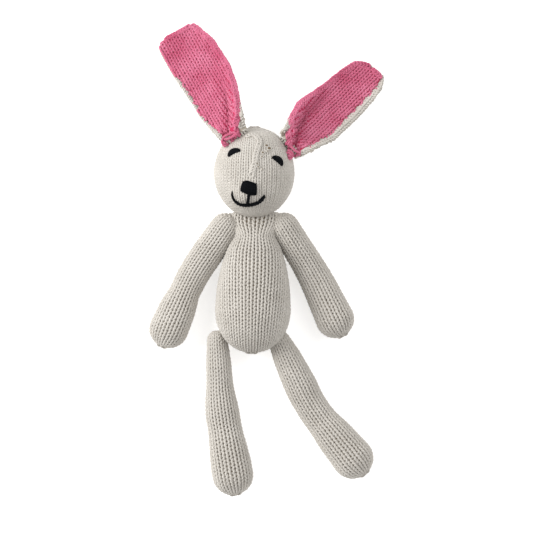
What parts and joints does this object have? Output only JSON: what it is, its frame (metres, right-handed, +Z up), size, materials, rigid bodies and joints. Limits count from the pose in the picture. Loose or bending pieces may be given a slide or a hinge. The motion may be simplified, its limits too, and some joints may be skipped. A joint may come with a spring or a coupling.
{
  "type": "stuffed bunny rabbit",
  "caption": "Hand-knitted soft bunny lying on its back, with limp arms and legs, long lined ears, embroidered sleepy eyes, a nose and a smile.",
  "frame": {"origin": "middle of the overall box, on the table the toy lies on", "axes": "+Y from the feet to the ears, +Z up out of the table and out of the face, +X to the right when looking down at the face"},
  "size_m": [0.1849, 0.3761, 0.0646],
  "materials": {
    "cream_yarn": "matt knitted cotton, undyed cream",
    "pink_yarn": "matt knitted cotton, bright pink",
    "black_yarn": "satin-stitched black yarn",
    "wadding": "loose off-white wadding"
  },
  "bodies": {
    "torso": {"body_skin": "cream_yarn", "body_stuffing": "wadding", "base_gather_thread": "cream_yarn", "neck_gather_thread": "cream_yarn"},
    "neck": {"neck_stitches": "cream_yarn"},
    "head": {"head_skin": "cream_yarn", "head_stuffing": "wadding", "left_eye": "black_yarn", "right_eye": "black_yarn", "nose": "black_yarn", "mouth": "black_yarn", "forehead_seam": "cream_yarn", "crown_gather_thread": "cream_yarn"},
    "left_ear": {"left_ear_back": "cream_yarn", "left_ear_lining": "pink_yarn", "left_ear_edge_stitches": "cream_yarn", "left_ear_base_stitches": "pink_yarn"},
    "right_ear": {"right_ear_back": "cream_yarn", "right_ear_lining": "pink_yarn", "right_ear_edge_stitches": "cream_yarn", "right_ear_base_stitches": "pink_yarn"},
    "left_shoulder": {"left_shoulder_stitches": "cream_yarn"},
    "left_upper_arm": {"left_upper_arm_skin": "cream_yarn", "left_upper_arm_stuffing": "wadding"},
    "left_forearm": {"left_forearm_skin": "cream_yarn", "left_forearm_stuffing": "wadding", "left_hand_gather_thread": "cream_yarn"},
    "right_shoulder": {"right_shoulder_stitches": "cream_yarn"},
    "right_upper_arm": {"right_upper_arm_skin": "cream_yarn", "right_upper_arm_stuffing": "wadding"},
    "right_forearm": {"right_forearm_skin": "cream_yarn", "right_forearm_stuffing": "wadding", "right_hand_gather_thread": "cream_yarn"},
    "left_hip": {"left_hip_stitches": "cream_yarn"},
    "left_thigh": {"left_thigh_skin": "cream_yarn", "left_thigh_stuffing": "wadding"},
    "left_shin": {"left_shin_skin": "cream_yarn", "left_shin_stuffing": "wadding", "left_foot_gather_thread": "cream_yarn"},
    "right_hip": {"right_hip_stitches": "cream_yarn"},
    "right_thigh": {"right_thigh_skin": "cream_yarn", "right_thigh_stuffing": "wadding"},
    "right_shin": {"right_shin_skin": "cream_yarn", "right_shin_stuffing": "wadding", "right_foot_gather_thread": "cream_yarn"}
  },
  "joints": [
    {"name": "neck_turn", "type": "hinge", "parent": "torso", "child": "neck", "pos_m": [-0.01, 0.04, 0.027], "axis": [-0.048, 0.9916, 0.12], "range_deg": [-50, 50]},
    {"name": "neck_nod", "type": "hinge", "parent": "neck", "child": "head", "pos_m": [-0.01, 0.04, 0.027], "axis": [1, 0, 0], "range_deg": [-20, 30]},
    {"name": "left_ear_fold", "type": "hinge", "parent": "head", "child": "left_ear", "pos_m": [-0.0286, 0.096, 0.0488], "axis": [0.8746, 0.4848, 0], "range_deg": [-30, 110]},
    {"name": "right_ear_fold", "type": "hinge", "parent": "head", "child": "right_ear", "pos_m": [0.021, 0.0872, 0.0398], "axis": [0.7071, -0.7071, 0], "range_deg": [-30, 110]},
    {"name": "left_shoulder_swing", "type": "hinge", "parent": "torso", "child": "left_shoulder", "pos_m": [-0.038, 0.026, 0.024], "axis": [-1, 0, 0], "range_deg": [-60, 110]},
    {"name": "left_shoulder_spread", "type": "hinge", "parent": "left_shoulder", "child": "left_upper_arm", "pos_m": [-0.038, 0.026, 0.024], "axis": [0, 0, -1], "range_deg": [-4, 80]},
    {"name": "left_elbow_bend", "type": "hinge", "parent": "left_upper_arm", "child": "left_forearm", "pos_m": [-0.0596, -0.0136, 0.0126], "axis": [-0.9216, 0.3881, 0], "range_deg": [-85, 65]},
    {"name": "right_shoulder_swing", "type": "hinge", "parent": "torso", "child": "right_shoulder", "pos_m": [0.0192, 0.026, 0.024], "axis": [-1, 0, 0], "range_deg": [-60, 110]},
    {"name": "right_shoulder_spread", "type": "hinge", "parent": "right_shoulder", "child": "right_upper_arm", "pos_m": [0.0192, 0.026, 0.024], "axis": [0, 0, 1], "range_deg": [-4, 80]},
    {"name": "right_elbow_bend", "type": "hinge", "parent": "right_upper_arm", "child": "right_forearm", "pos_m": [0.0384, -0.0128, 0.0126], "axis": [-0.9147, -0.4042, 0], "range_deg": [-85, 65]},
    {"name": "left_hip_spread", "type": "hinge", "parent": "torso", "child": "left_hip", "pos_m": [-0.041, -0.0716, 0.0172], "axis": [0, 0, -1], "range_deg": [-6, 45]},
    {"name": "left_hip_lift", "type": "hinge", "parent": "left_hip", "child": "left_thigh", "pos_m": [-0.041, -0.0716, 0.0172], "axis": [-0.9941, -0.1087, 0], "range_deg": [-60, 90]},
    {"name": "left_knee_bend", "type": "hinge", "parent": "left_thigh", "child": "left_shin", "pos_m": [-0.0356, -0.121, 0.0132], "axis": [0.9903, 0.1393, 0], "range_deg": [-80, 80]},
    {"name": "right_hip_spread", "type": "hinge", "parent": "torso", "child": "right_hip", "pos_m": [0.0152, -0.074, 0.0172], "axis": [0, 0, 1], "range_deg": [-22, 30]},
    {"name": "right_hip_lift", "type": "hinge", "parent": "right_hip", "child": "right_thigh", "pos_m": [0.0152, -0.074, 0.0172], "axis": [-0.8999, -0.4361, 0], "range_deg": [-60, 90]},
    {"name": "right_knee_bend", "type": "hinge", "parent": "right_thigh", "child": "right_shin", "pos_m": [0.0372, -0.1194, 0.0132], "axis": [0.7863, 0.6178, 0], "range_deg": [-80, 80]}
  ]
}
